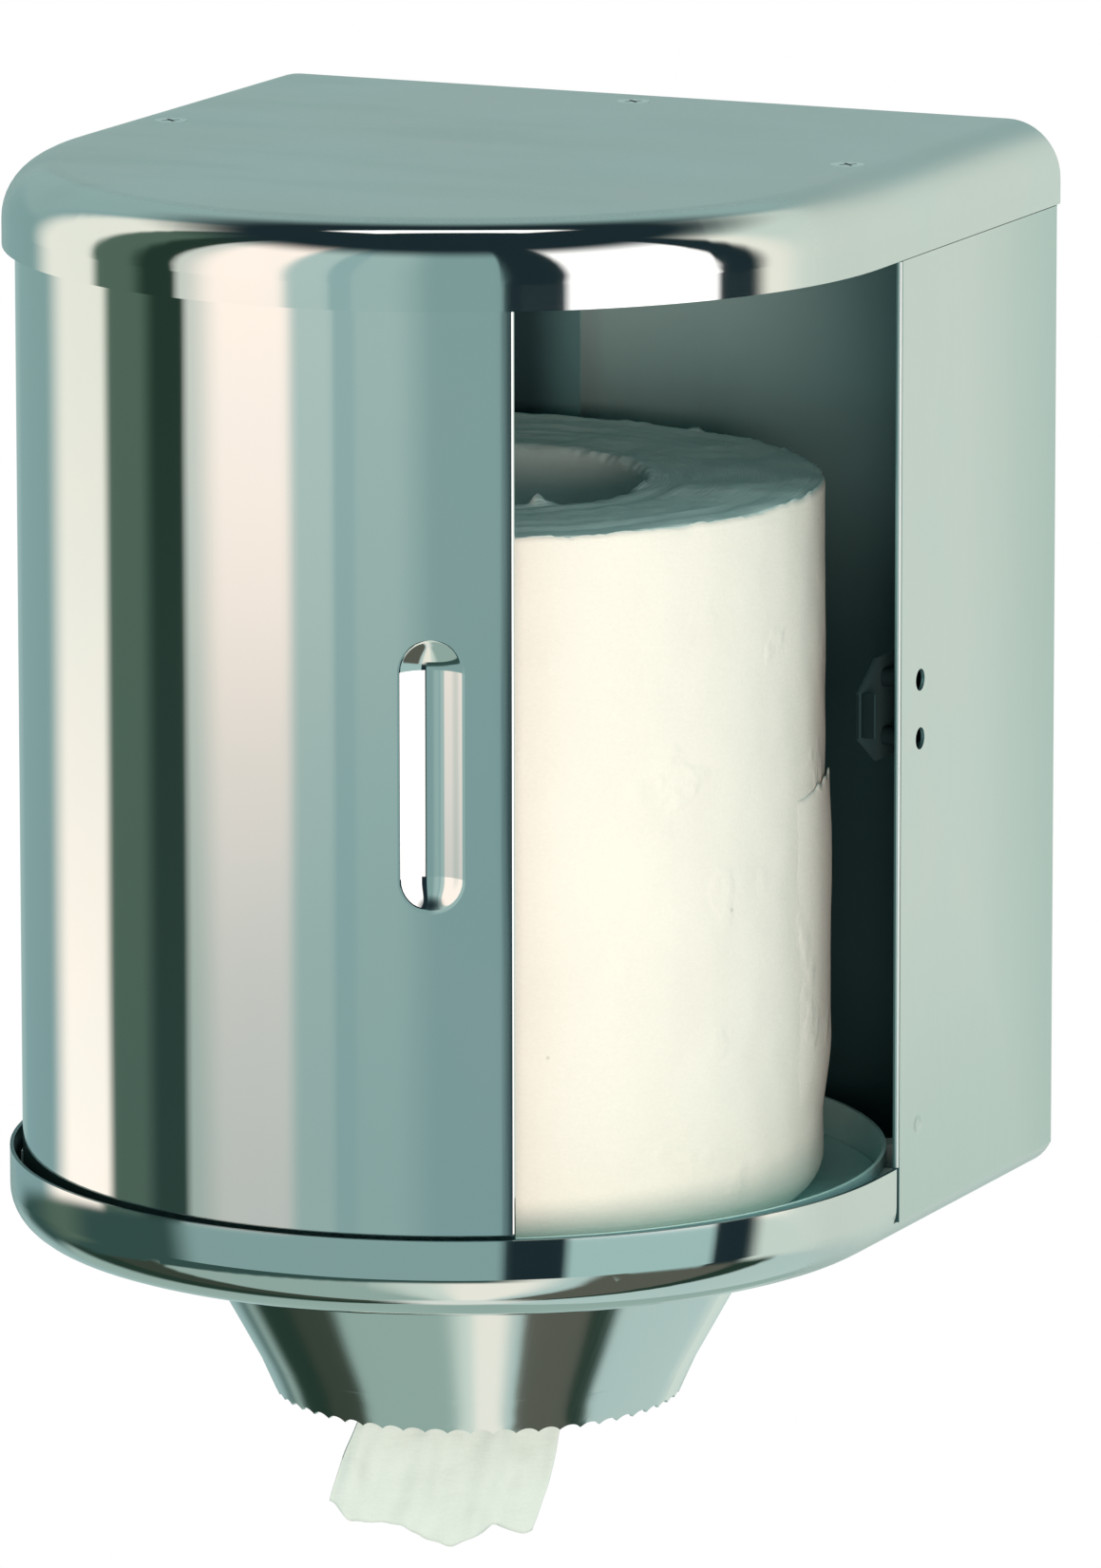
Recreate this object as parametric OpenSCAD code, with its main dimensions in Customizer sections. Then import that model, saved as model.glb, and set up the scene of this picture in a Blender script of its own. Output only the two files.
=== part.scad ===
// Centre pull towel dispenser: a stainless wall case with a curved sliding door.
// Origin on the wall plane, mid-width and mid-height. Front is -Y, up is +Z. Millimetres.
// Angles round the door's axis are measured from the front (-Y) towards +X.

/* [Paper] */
// Outer diameter of a full roll
roll_d = 198; // [180:1:210]
// Height of a full roll
roll_h = 194.6; // [175:0.1:210]
// Diameter of the hole left by the core
roll_hole_d = 100; // [80:1:110]
// Rounding of the roll's lower outer edge
roll_edge_r = 9; // [4:0.5:12]
// Thickness of the loose outer end
flap_t = 0.7; // [0.4:0.1:1.5]
// Height of the loose outer end
flap_h = 105; // [60:1:150]
// Length that the paper tail hangs below the funnel
tail_drop = 39; // [20:1:70]
// Width of the paper tail at its lower end
tail_w = 58; // [40:1:64]
// Thickness of the gathered paper
tail_t = 2.4; // [1.6:0.1:3]

/* [Case] */
// Room between the roll and the outside of the case
side_room = 23.5; // [21:0.5:35]
// Distance from the case's round part to the wall
back_step = 3.5; // [3:0.5:20]
// Room above the roll, up to the cap
head_room = 85; // [70:1:110]
// Height of the cap and of the pan
press_h = 22.5; // [21:0.5:26]
// Thickness of every steel sheet
sheet = 1; // [0.8:0.1:1.2]
// Edge radius of the cap
cap_edge_r = 15.5; // [13:0.5:16]
// Edge radius of the pan
pan_edge_r = 12; // [9:0.5:13]
// Distance of the panels' front edges behind the middle of the round part
panel_set = 16; // [12:1:24]
// Width of the hems on the panels' front edges
panel_hem_w = 6; // [5:0.5:8]
// Bend radius of the case's rear corners
bend_r = 3; // [2:0.5:4]
// Gap between stacked sheets
seam = 0.1; // [0.05:0.05:0.3]
// Width of the slit in front of each panel's foot
slit_w = 1.8; // [1:0.1:3]
// Depth of that slit below the pan's rim
slit_h = 15; // [12:0.5:17]

/* [Fastening] */
// Diameter of the wall holes
wall_hole_d = 6.5; // [4:0.5:9]
// Distance of the wall holes across
wall_hole_dx = 170; // [120:1:180]
// Distance of the wall holes in height
wall_hole_dz = 180; // [120:1:200]
// Thread diameter of the cap screws
screw_d = 5; // [4:0.5:5]
// Head diameter of the cap screws
screw_head_d = 9.2; // [8:0.2:9.6]
// Distance of a side screw from its panel's outside
screw_in = 22; // [20:0.5:26]
// Distance of the side screws behind the panels' front edges
screw_set = 14; // [11:0.5:24]
// Distance of the rear screw from the wall
screw_back = 11.6; // [10.5:0.1:13]
// Width of the brackets that carry the cap
tab_w = 20; // [16:1:24]
// Length of the rear bracket under the cap
back_tab_l = 32; // [26:1:36]

/* [Door] */
// Opening angle of the leading edge as shown
door_lead = 31.4; // [-20:0.1:95]
// Angle that the door covers
door_arc = 203; // [202:1:208]
// Width of the hem on the leading edge
hem_w = 8; // [6:0.5:10]
// Angle from the leading edge to the finger recess
recess_back = 10.2; // [9:0.1:16]
// Width of the finger recess
recess_w = 18; // [14:0.5:20]
// Height of the finger recess
recess_h = 73; // [60:1:90]
// Depth of the finger recess
recess_depth = 6; // [4.5:0.25:6.5]
// Glides on each edge of the door
glide_count = 5; // [3:1:7]
// Angle that one glide covers
glide_arc = 9; // [6:1:12]
// Height of a glide
glide_h = 7.7; // [6:0.1:9]
// Running gap of the door's glides
run_gap = 0.4; // [0.3:0.05:0.6]

/* [Funnel] */
// Distance of the funnel's middle behind the middle of the round part
funnel_back = 11; // [0:0.5:14]
// Diameter of the funnel under the pan
funnel_d = 161; // [145:1:164]
// Diameter of the funnel at its rim
funnel_rim_d = 110.4; // [95:0.2:118]
// Height of the funnel
funnel_h = 48.8; // [40:0.2:60]
// Width of the funnel's flange
funnel_flange_w = 11; // [9:0.5:14]
// Number of scallops round the rim
scallop_count = 56; // [40:1:60]
// Depth of a scallop
scallop_depth = 1.3; // [0.8:0.1:1.6]
// Diameter of the paper hole in the pan
towel_hole_d = 62; // [50:1:70]
// Height of the lip round the paper hole
towel_lip_h = 4; // [3:0.5:6]
// Diameter of the paper hole in the plate under the roll
plate_hole_d = 70; // [62:1:90]
// Number of rivets in the funnel's flange
rivet_count = 4; // [3:1:8]
// Shank diameter of those rivets
rivet_d = 3.2; // [2.5:0.1:4]

/* [Lock] */
// Diameter of the key holes
key_hole_d = 6; // [5:0.5:7]
// Distance between the key holes
key_pitch = 16; // [13:0.5:22]
// Distance of the key holes behind the panel's front edge
key_set = 13; // [12:0.5:15]
// Diameter of the studs behind the key holes
stud_d = 5; // [4:0.5:5]
// Height of the lock tongue
tongue_h = 28; // [24:1:34]
// Length of the lock tongue in front of its root
tongue_l = 50; // [48:1:52]
// Thickness of the lock tongue
tongue_t = 0.8; // [0.6:0.1:1]
// Distance of the lock tongue from the panel's outside
tongue_set = 10.5; // [10:0.5:14]
// Distance of the tongue's root behind the studs
root_back = 33; // [31:1:36]

/* [Hidden] */
$fn = 72;
eps = 0.01;

// Case
roll_r = roll_d / 2;
case_r = roll_r + side_room;
case_in = case_r - sheet;
axis_y = -(case_r + back_step);
rest_gap = 0.3;
ledge_h = 9;
plate_rise = ledge_h + 2 * sheet + seam;
case_h = plate_rise + rest_gap + roll_h + head_room + sheet;
top_z = case_h / 2;
bottom_z = -case_h / 2;
skirt_z = top_z - press_h;
rim_z = bottom_z + press_h;
floor_z = bottom_z + sheet;
ceiling_z = top_z - sheet;
panel_y = axis_y + panel_set;
panel_top_z = skirt_z - 2 * seam;
pan_round_z = bottom_z + pan_edge_r;
panel_foot_z = rim_z - slit_h;
liner_out = case_in - seam;
liner_in = liner_out - sheet;
liner_low_z = panel_foot_z - sheet / 2;
weld_tab_h = 18;
tab_y = panel_y + panel_hem_w + 1;

// Tabs, cap screws and nuts
tab_top_z = ceiling_z - seam;
tab_bend_r = cap_edge_r - sheet - seam;
tab_bend_x = case_r - cap_edge_r;
tab_bend_z = top_z - cap_edge_r;
tab_past_screw = 9;
tab_reach = screw_in + tab_past_screw;
tab_leg = 10;
screw_y = panel_y + screw_set;
screw_places = [[case_r - screw_in, screw_y], [screw_in - case_r, screw_y], [0, -screw_back]];
screw_cone_h = (screw_head_d - screw_d) / 2;
nut_af = 1.6 * screw_d;
nut_h = 0.8 * screw_d;
cross_w = 0.9;
cross_l = 5;
cross_depth = 1.2;

// Door and its tracks, outwards in: skirt, glide, door sheet, glide, track flange
glide_out = case_in - 4 * run_gap;
glide_wall = 0.9;
door_out = glide_out - glide_wall;
door_in = door_out - sheet;
glide_lip = 2.1;
glide_in = door_in - glide_lip;
track_out = glide_in - run_gap;
track_in = track_out - sheet;
ledge_r = glide_out - 2 * seam;
track_top_z = tab_top_z - sheet - 2 * seam;
foot_in = roll_r + sheet;
ledge_z = floor_z + ledge_h;
lower_glide_z = ledge_z + rest_gap;
glide_floor = 2.7;
door_foot_z = lower_glide_z + glide_floor;
door_head_z = -door_foot_z;
channel_w = 4;
riser_r = min(track_in - channel_w, case_r - pan_edge_r - seam);
foot_grip = 8;
upper_foot_in = case_r - screw_in - foot_grip;
flange_h = 8;
plate_z = bottom_z + plate_rise;
plate_collar_h = 4;
nose_r = sheet - seam;
lead_nose = asin(nose_r / door_in);
hem_arc = hem_w / door_in * 180 / PI;
recess_half = recess_w / 2;
recess_r = (recess_half * recess_half + recess_depth * recess_depth) / (2 * recess_depth);
recess_axis = door_out + recess_r - recess_depth;
recess_run = recess_h - recess_w;
glide_first = door_lead - hem_arc - 2 - glide_arc;
glide_last = door_lead - door_arc + 1;
glide_step = (glide_first - glide_last) / (glide_count - 1);

// Door travel: the closed edge stops short of the studs, the open tail short of the lock bracket
stud_dy = panel_set + key_set;
stud_clear = 3;
closed_lead = 90 + asin((stud_dy - stud_d / 2 - stud_clear) / door_in);
open_tail = 125;
stop_gap = 0.5;
stop_arc = 4;
stop_h = 8;

// Lock
tongue_x = case_r - tongue_set;
root_dy = stud_dy + root_back;
hook_gap = 0.9;
hook_dy = (door_in - sheet) * sin(closed_lead - hem_arc - 90) - hook_gap;
hook_tip = sqrt(pow(door_in - sheet - run_gap, 2) - pow(hook_dy, 2));
hook_t = 1.2;
hook_h = 12;
bracket_h = tongue_h + 4;
bracket_l = 26;

// Funnel
funnel_r = funnel_d / 2;
funnel_rim_r = funnel_rim_d / 2;
funnel_low_z = bottom_z - funnel_h;
funnel_waist = 0.79;
funnel_waist_r = funnel_rim_r + 4.6;
scallop_pitch = 2 * PI * funnel_rim_r / scallop_count;
scallop_r = (pow(scallop_pitch / 2, 2) + pow(scallop_depth, 2)) / (2 * scallop_depth);
rivet_ring_r = funnel_r + funnel_flange_w / 2;
rivet_head_h = 1.4;

// Paper
roll_z = plate_z + rest_gap;
flap_lead = 112;
flap_arc = 26;
tail_rings = 24;
tail_samples = 20;
tail_folds = 2.2;
tail_turn = 25;
tail_lean = 12;
tail_rise = 90;
tail_top_z = floor_z + tail_rise;
tail_top_half = 12;
tail_neck_half = 20;
tail_neck_rise = 6;
tail_wall_gap = 2.8;
tail_from = funnel_back * cos(tail_turn)
    + sqrt(pow(roll_hole_d / 2 - tail_wall_gap, 2) - pow(funnel_back * sin(tail_turn), 2));
tail_low_z = funnel_low_z - tail_drop;
tail_neck_z = floor_z + tail_neck_rise;

// Colours
satin = [0.72, 0.77, 0.76];
polished = [0.66, 0.74, 0.74];
nylon = [0.85, 0.86, 0.84];
spring_steel = [0.5, 0.53, 0.54];
towel = [0.95, 0.94, 0.9];

// Shapes that several pieces share

// Places children at the door's axis
module at_axis(turn = 0) {
    translate([0, axis_y, 0]) rotate([0, 0, turn]) children();
}

// Places children at the funnel's axis
module at_funnel(turn = 0) {
    translate([0, axis_y + funnel_back, 0]) rotate([0, 0, turn]) children();
}

// Turns a profile of radius and height from one angle to another round the door's axis
module arc_body(from, to) {
    at_axis(from - 90) rotate_extrude(angle = to - from) children();
}

// Draws a profile of width and height and runs it from one y to another
module run_y(from, to) {
    translate([0, to, 0]) rotate([90, 0, 0]) linear_extrude(height = to - from) children();
}

// Half section of a pressing that is filled: flat face at z = h, skirt down to z = 0
module press_fill(r, h, edge) {
    square([r, h - edge]);
    square([r - edge, h]);
    translate([r - edge, h - edge]) intersection() {
        circle(edge);
        square(edge);
    }
}

// Half section of a pressing in sheet, skirt down to z = 0
module press_half(r, h, edge) {
    difference() {
        press_fill(r, h, edge);
        translate([-eps, -eps]) press_fill(r - sheet + eps, h - sheet + eps, edge - sheet);
    }
}

// Both halves of a section, for the straight run behind the round part
module both_halves() {
    children();
    mirror([1, 0]) children();
}

// A D-shaped pressing, open at the wall, skirt down to z = 0
module pressing(h, edge) {
    arc_body(-90, 90) press_half(case_r, h, edge);
    run_y(axis_y, 0) both_halves() press_half(case_r, h, edge);
}

// A screw's shank and cone, grown all round by a clearance
module screw_body(length, grow = 0) {
    translate([0, 0, -length]) cylinder(d = screw_d + 2 * grow, h = length);
    translate([0, 0, -screw_cone_h])
        cylinder(d1 = screw_d + 2 * grow, d2 = screw_head_d + 2 * grow, h = screw_cone_h);
}

module screw_holes(grow) {
    for (p = screw_places)
        translate([p[0], p[1], top_z]) {
            screw_body(2 * screw_cone_h + 3, grow);
            cylinder(d = screw_head_d + 2 * grow, h = 1);
        }
}

// Case

// Plan of the bent sheet: back plate, two bends, two panels
module shell_plan() {
    difference() {
        shell_fill(case_r, 0, bend_r);
        shell_fill(case_in, sheet, bend_r - sheet);
        translate([-case_r - 1, axis_y - case_r]) square([2 * case_r + 2, panel_y - axis_y + case_r]);
    }
}

module shell_fill(half, back, r) {
    depth = -axis_y - back;
    translate([-half, axis_y]) square([2 * half, depth - r]);
    translate([-half + r, axis_y]) square([2 * (half - r), depth]);
    for (side = [-1, 1])
        translate([side * (half - r), -back - r]) circle(r);
}

// Outline of the back plate behind the cap and the pan
module back_outline() {
    cap_half = liner_out;
    square_up = top_z - cap_edge_r - panel_top_z + 1;
    both_halves() {
        translate([0, panel_top_z - 1]) square([cap_half, square_up]);
        translate([0, panel_top_z - 1]) square([tab_bend_x, tab_top_z - panel_top_z + 1]);
        translate([tab_bend_x, tab_bend_z]) circle(tab_bend_r);
        translate([0, floor_z + seam]) square([case_r - pan_edge_r, panel_foot_z - floor_z + 1]);
        translate([0, pan_round_z]) square([liner_in - seam, max(panel_foot_z - pan_round_z, 0) + 1]);
        translate([case_r - pan_edge_r, pan_round_z]) circle(pan_edge_r - 2 * sheet - 2 * seam);
    }
}

// Hem folded in along a panel's front edge
module panel_hem() {
    hem_low = rim_z + 2 * seam;
    hem_h = panel_top_z - 2 * seam - hem_low;
    translate([case_in - sheet, panel_y, hem_low]) cube([sheet + eps, panel_hem_w, hem_h]);
    translate([case_in, panel_y, hem_low]) cylinder(r = nose_r, h = hem_h, $fn = 12);
}

module body_shell() {
    color(satin) difference() {
        union() {
            translate([0, 0, panel_foot_z]) linear_extrude(height = panel_top_z - panel_foot_z) shell_plan();
            run_y(-sheet, 0) back_outline();
            panel_hem();
            mirror([1, 0, 0]) panel_hem();
        }
        for (x = [-1, 1], z = [-1, 1])
            translate([x * wall_hole_dx / 2, 0, z * wall_hole_dz / 2])
                rotate([90, 0, 0]) cylinder(d = wall_hole_d, h = 4 * sheet, center = true);
        for (z = [-1, 1])
            translate([case_r, axis_y + stud_dy, z * key_pitch / 2])
                rotate([0, 90, 0]) cylinder(d = key_hole_d, h = 4 * sheet, center = true);
    }
}

// Section of a side bracket: up inside the skirt, round the cap's edge and in under the screw
module bracket_section() {
    low = panel_top_z - tab_leg;
    translate([tab_bend_x + tab_bend_r - sheet, low]) square([sheet, tab_bend_z - low]);
    translate([tab_bend_x, tab_bend_z]) intersection() {
        difference() {
            circle(tab_bend_r);
            circle(tab_bend_r - sheet);
        }
        square(tab_bend_r);
    }
    translate([case_r - tab_reach, tab_top_z - sheet])
        square([tab_bend_x - case_r + tab_reach, sheet]);
}

// Two bent brackets inside the panels and an angle on the back plate
module cap_brackets() {
    wall_y = -sheet - seam;
    color(satin) difference() {
        union() {
            run_y(tab_y, tab_y + tab_w) both_halves() bracket_section();
            translate([-tab_w / 2, -back_tab_l, tab_top_z - sheet]) cube([tab_w, back_tab_l + wall_y, sheet]);
            translate([-tab_w / 2, wall_y - sheet, tab_top_z - tab_leg]) cube([tab_w, sheet, tab_leg]);
        }
        screw_holes(seam);
    }
}

module top_cap() {
    color(satin) difference() {
        translate([0, 0, skirt_z]) pressing(press_h, cap_edge_r);
        screw_holes(seam);
    }
}

// Section of the pan below the panels' feet
module pan_low_half() {
    intersection() {
        translate([0, rim_z]) mirror([0, 1]) press_half(case_r, press_h, pan_edge_r);
        translate([0, bottom_z]) square([case_r, panel_foot_z - seam - bottom_z]);
    }
}

// The skirt set in behind a panel, which ends at the bends of the case's rear corners
module pan_liner_half() {
    translate([liner_in, liner_low_z]) square([sheet, rim_z - liner_low_z]);
}

module bottom_pan() {
    rear_y = panel_y - slit_w;
    color(polished) difference() {
        union() {
            translate([0, 0, rim_z]) mirror([0, 0, 1]) {
                arc_body(-90, 90) press_half(case_r, press_h, pan_edge_r);
                run_y(axis_y, rear_y) both_halves() press_half(case_r, press_h, pan_edge_r);
            }
            run_y(rear_y, 0) both_halves() pan_low_half();
            run_y(rear_y, -bend_r) both_halves() pan_liner_half();
            run_y(tab_y, tab_y + tab_w) both_halves()
                translate([liner_in, rim_z - 1]) square([sheet, weld_tab_h + 1]);
            at_funnel() translate([0, 0, bottom_z - towel_lip_h])
                cylinder(d = towel_hole_d + 2 * sheet, h = towel_lip_h + sheet / 2);
        }
        at_funnel() translate([0, 0, bottom_z - towel_lip_h - 1])
            cylinder(d = towel_hole_d, h = towel_lip_h + press_h);
        for (side = [-1, 1])
            translate([side * case_r - 6, rear_y, rim_z - slit_h])
                cube([12, slit_w, slit_h + 1]);
        funnel_rivet_holes();
    }
}

// Door tracks

// Ring under the cap: foot below the tabs, riser, web and guiding flange
module upper_track() {
    web_z = door_head_z + glide_floor + rest_gap;
    color(satin) difference() {
        at_axis() rotate_extrude() {
            translate([upper_foot_in, track_top_z - sheet]) square([riser_r - upper_foot_in, sheet]);
            translate([riser_r - sheet, web_z]) square([sheet, track_top_z - web_z]);
            translate([riser_r - sheet, web_z]) square([track_out - riser_r + sheet, sheet]);
            translate([track_in, web_z + sheet - flange_h]) square([sheet, flange_h]);
        }
        screw_holes(seam);
        translate([-nut_af, -screw_back - nut_af / 2 - 2, web_z + sheet]) cube([2 * nut_af, 40, press_h]);
    }
}

// Ring in the pan: foot on the floor, riser, ledge under the glides and guiding flange
module lower_track() {
    color(satin) at_axis() rotate_extrude() {
        translate([foot_in, floor_z]) square([riser_r - foot_in, sheet]);
        translate([riser_r - sheet, floor_z]) square([sheet, ledge_z - floor_z]);
        translate([riser_r - sheet, ledge_z - sheet]) square([ledge_r - riser_r + sheet, sheet]);
        translate([track_in, ledge_z - sheet]) square([sheet, rim_z - ledge_z]);
    }
}

// Plate on the track's ledge that the roll stands on, with a collar round the paper's way
module roll_plate() {
    hole_r = plate_hole_d / 2;
    color(satin) difference() {
        union() {
            at_axis() translate([0, 0, plate_z - sheet]) cylinder(r = track_in - rest_gap, h = sheet);
            at_funnel() translate([0, 0, plate_z - plate_collar_h])
                cylinder(r = hole_r + sheet, h = plate_collar_h);
        }
        at_funnel() translate([0, 0, plate_z - plate_collar_h - 1])
            cylinder(r = hole_r, h = plate_collar_h + 2);
    }
}

// Fasteners

module cap_screws() {
    color(spring_steel) for (p = screw_places)
        translate([p[0], p[1], top_z]) difference() {
            screw_body(3 * sheet + nut_h + 1.5);
            for (turn = [45, 135])
                rotate([0, 0, turn]) translate([0, 0, -cross_depth / 2 + eps])
                    cube([cross_l, cross_w, cross_depth + 2 * eps], center = true);
        }
}

module cap_nuts() {
    seat_side = track_top_z - sheet;
    seat_back = tab_top_z - sheet;
    color(spring_steel) for (p = screw_places)
        translate([p[0], p[1], (p[0] == 0 ? seat_back : seat_side) - nut_h]) difference() {
            rotate([0, 0, 30]) cylinder(d = nut_af / cos(30), h = nut_h, $fn = 6);
            translate([0, 0, -1]) cylinder(d = screw_d + seam, h = nut_h + 2);
        }
}

// Funnel

module funnel_wall() {
    waist_z = -funnel_waist * funnel_h;
    flange_r = funnel_r + funnel_flange_w;
    polygon([[flange_r, 0], [flange_r, -sheet], [funnel_r, -sheet], [funnel_waist_r, waist_z],
        [funnel_rim_r, -funnel_h], [funnel_rim_r - sheet, -funnel_h],
        [funnel_waist_r - sheet, waist_z], [funnel_r - sheet, -sheet], [funnel_r - sheet, 0]]);
}

module funnel() {
    color(polished) at_funnel() difference() {
        translate([0, 0, bottom_z]) rotate_extrude() funnel_wall();
        for (i = [0 : scallop_count - 1])
            rotate([0, 0, i * 360 / scallop_count])
                translate([funnel_rim_r - 4, 0, funnel_low_z - scallop_r + scallop_depth])
                    rotate([0, 90, 0]) cylinder(r = scallop_r, h = 8);
        translate([0, -axis_y - funnel_back, 0]) funnel_rivet_holes();
    }
}

module funnel_rivet_holes() {
    for (i = [0 : rivet_count - 1])
        at_funnel(45 + i * 360 / rivet_count) translate([rivet_ring_r, 0, bottom_z - sheet - 1])
            cylinder(d = rivet_d + 2 * seam, h = 2 * sheet + 2);
}

module funnel_rivets() {
    color(spring_steel) for (i = [0 : rivet_count - 1])
        at_funnel(45 + i * 360 / rivet_count) translate([rivet_ring_r, 0, bottom_z - sheet]) {
            cylinder(d = rivet_d, h = 2 * sheet);
            translate([0, 0, -rivet_head_h]) cylinder(d = 2 * rivet_d, h = rivet_head_h);
        }
}

// Door

// A round-ended bar along Z
module capsule(r, run) {
    cylinder(r = r, h = run, center = true);
    for (end = [-1, 1])
        translate([0, 0, end * run / 2]) sphere(r);
}

module door_panel() {
    tail = door_lead - door_arc;
    hem_from = door_lead - hem_arc;
    door_h = door_head_z - door_foot_z;
    color(polished) difference() {
        union() {
            arc_body(tail, hem_from) translate([door_in, door_foot_z]) square([sheet, door_h]);
            arc_body(hem_from, door_lead)
                translate([door_in - sheet, door_foot_z]) square([2 * sheet, door_h]);
            at_axis(door_lead) translate([0, -door_in, door_foot_z])
                cylinder(r = nose_r, h = door_h, $fn = 12);
            intersection() {
                at_axis() cylinder(r = door_in + sheet / 2, h = door_h, center = true);
                recess_at() capsule(recess_r + sheet, recess_run);
            }
        }
        recess_at() capsule(recess_r, recess_run);
    }
}

module recess_at() {
    at_axis(door_lead - recess_back) translate([0, -recess_axis, 0]) children();
}

// Section of a nylon shoe over the door's lower edge
module glide_section() {
    difference() {
        translate([glide_in, lower_glide_z]) square([glide_out - glide_in, glide_h]);
        translate([door_in - seam / 2, door_foot_z - seam / 2]) square([sheet + seam, glide_h]);
    }
}

module glide_ring() {
    for (i = [0 : glide_count - 1])
        arc_body(glide_last + i * glide_step, glide_last + i * glide_step + glide_arc) glide_section();
}

module lower_glides() {
    color(nylon) glide_ring();
}

module upper_glides() {
    color(nylon) mirror([0, 0, 1]) glide_ring();
}

// Blocks in the lower channel that end the door's travel both ways
module door_stops() {
    closed_face = closed_lead + lead_nose + stop_gap;
    open_face = open_tail - stop_gap;
    color(nylon) for (start = [closed_face, open_face - stop_arc])
        arc_body(start, start + stop_arc)
            translate([track_out + seam, ledge_z]) square([ledge_r - track_out - seam, stop_h]);
}

// Lock

// Bracket on the right panel: base plate and a leg that reaches in to the tongue's root
module lock_bracket() {
    color(spring_steel) at_axis() translate([0, root_dy, -bracket_h / 2]) {
        translate([case_in - sheet, 0, 0]) cube([sheet, bracket_l, bracket_h]);
        translate([tongue_x - tongue_t, 0, 0]) cube([case_in - tongue_x + tongue_t, sheet, bracket_h]);
    }
}

// Spring tongue: leaf from the root forwards, with a hook that catches the door's hem
module lock_tongue() {
    root = root_dy - rest_gap;
    neck = stud_dy - stud_d;
    color(spring_steel) at_axis() {
        translate([tongue_x - tongue_t, 0, 0]) rotate([90, 0, 90]) linear_extrude(height = tongue_t)
            polygon([[root, -tongue_h / 2], [root, tongue_h / 2], [neck, tongue_h / 2],
                [root - tongue_l, hook_h / 2], [root - tongue_l, -hook_h / 2], [neck, -tongue_h / 2]]);
        translate([tongue_x - tongue_t, hook_dy - hook_t, -hook_h / 2])
            cube([hook_tip - tongue_x + tongue_t, hook_t, hook_h]);
    }
}

module lock_studs() {
    stud_l = case_in - 2 - tongue_x;
    color(spring_steel) for (z = [-1, 1])
        at_axis() translate([tongue_x, stud_dy, z * key_pitch / 2]) rotate([0, 90, 0]) {
            cylinder(d = stud_d, h = stud_l - stud_d / 2);
            translate([0, 0, stud_l - stud_d / 2]) sphere(d = stud_d);
        }
}

// Paper

module roll_section() {
    hole_r = roll_hole_d / 2;
    difference() {
        translate([hole_r, roll_z]) square([roll_r - hole_r, roll_h]);
        translate([roll_r - roll_edge_r, roll_z]) difference() {
            translate([0, -1]) square([roll_edge_r + 1, roll_edge_r + 1]);
            translate([0, roll_edge_r]) circle(roll_edge_r);
        }
    }
}

module paper_roll() {
    flap_low = roll_z + roll_edge_r;
    color(towel) {
        at_axis(180) rotate_extrude() roll_section();
        arc_body(flap_lead - flap_arc, flap_lead)
            translate([roll_r - flap_t, flap_low]) square([2 * flap_t, flap_h]);
    }
}

// The tail leaves the roll's inner wall, gathers in the pan's hole and opens below the funnel.
// t runs down the tail from 0 to 1, u across it from -1 to 1.
function ease(t) = t * t * (3 - 2 * t);
function clamp01(t) = max(0, min(1, t));
function tail_level(t) = tail_top_z + (tail_low_z - tail_top_z) * t;
function tail_in(t) = ease(clamp01((tail_top_z - tail_level(t)) / (tail_top_z - tail_neck_z)));
function tail_out(t) = ease(clamp01((tail_neck_z - tail_level(t)) / (tail_neck_z - tail_low_z)));
function tail_half(t) = tail_top_half + (tail_neck_half - tail_top_half) * tail_in(t)
    + (tail_w / 2 - tail_neck_half) * tail_out(t);
function tail_fold(t) = 0.5 + 4.5 * tail_in(t) + 3 * tail_out(t);
function tail_shift(t) = tail_from * (1 - tail_in(t));
function tail_wave(t, u) = sin(180 * tail_folds * u + 60 * tail_out(t)) * (1 - 0.35 * u)
    + 0.5 * tail_in(t) * sin(400 * u - 130 * tail_out(t));
function tail_mid(t, u) = [tail_half(t) * u - tail_lean * tail_out(t),
    -tail_shift(t) + tail_fold(t) * tail_wave(t, u) + 1.6 * (1 - tail_in(t)) * u * u];
function tail_side(t, u) = let (
    d = tail_mid(t, u + 0.02) - tail_mid(t, u - 0.02),
    n = [-d[1], d[0]] / norm(d)) n * tail_t / 2;
function tail_z(t, u) = tail_level(t) - tail_out(t) * (2.5 * u + 2 * sin(420 * u));
function tail_ring(t) = [
    for (j = [0 : tail_samples]) let (u = 2 * j / tail_samples - 1)
        concat(tail_mid(t, u) + tail_side(t, u), [tail_z(t, u)]),
    for (j = [tail_samples : -1 : 0]) let (u = 2 * j / tail_samples - 1)
        concat(tail_mid(t, u) - tail_side(t, u), [tail_z(t, u)])];

module paper_tail() {
    n = 2 * (tail_samples + 1);
    points = [for (i = [0 : tail_rings]) each tail_ring(i / tail_rings)];
    sides = [for (i = [0 : tail_rings - 1], j = [0 : n - 1])
        let (a = i * n + j, b = i * n + (j + 1) % n) each [[a, b, b + n], [a, b + n, a + n]]];
    top = [for (j = [0 : tail_samples - 1])
        let (a = j, b = n - 1 - j) each [[a, b, b - 1], [a, b - 1, a + 1]]];
    last = tail_rings * n;
    low = [for (f = top) [last + f[0], last + f[2], last + f[1]]];
    color(towel) at_funnel(tail_turn) polyhedron(points, concat(sides, top, low));
}

body_shell();
top_cap();
cap_brackets();
upper_track();
cap_screws();
cap_nuts();
bottom_pan();
lower_track();
roll_plate();
funnel();
funnel_rivets();
door_panel();
upper_glides();
lower_glides();
door_stops();
lock_bracket();
lock_tongue();
lock_studs();
paper_roll();
paper_tail();
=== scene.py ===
"""Looks of a centre pull towel dispenser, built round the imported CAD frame. Metres, CAD axes."""

import math

import bpy
from mathutils import Matrix, Vector, noise


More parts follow.
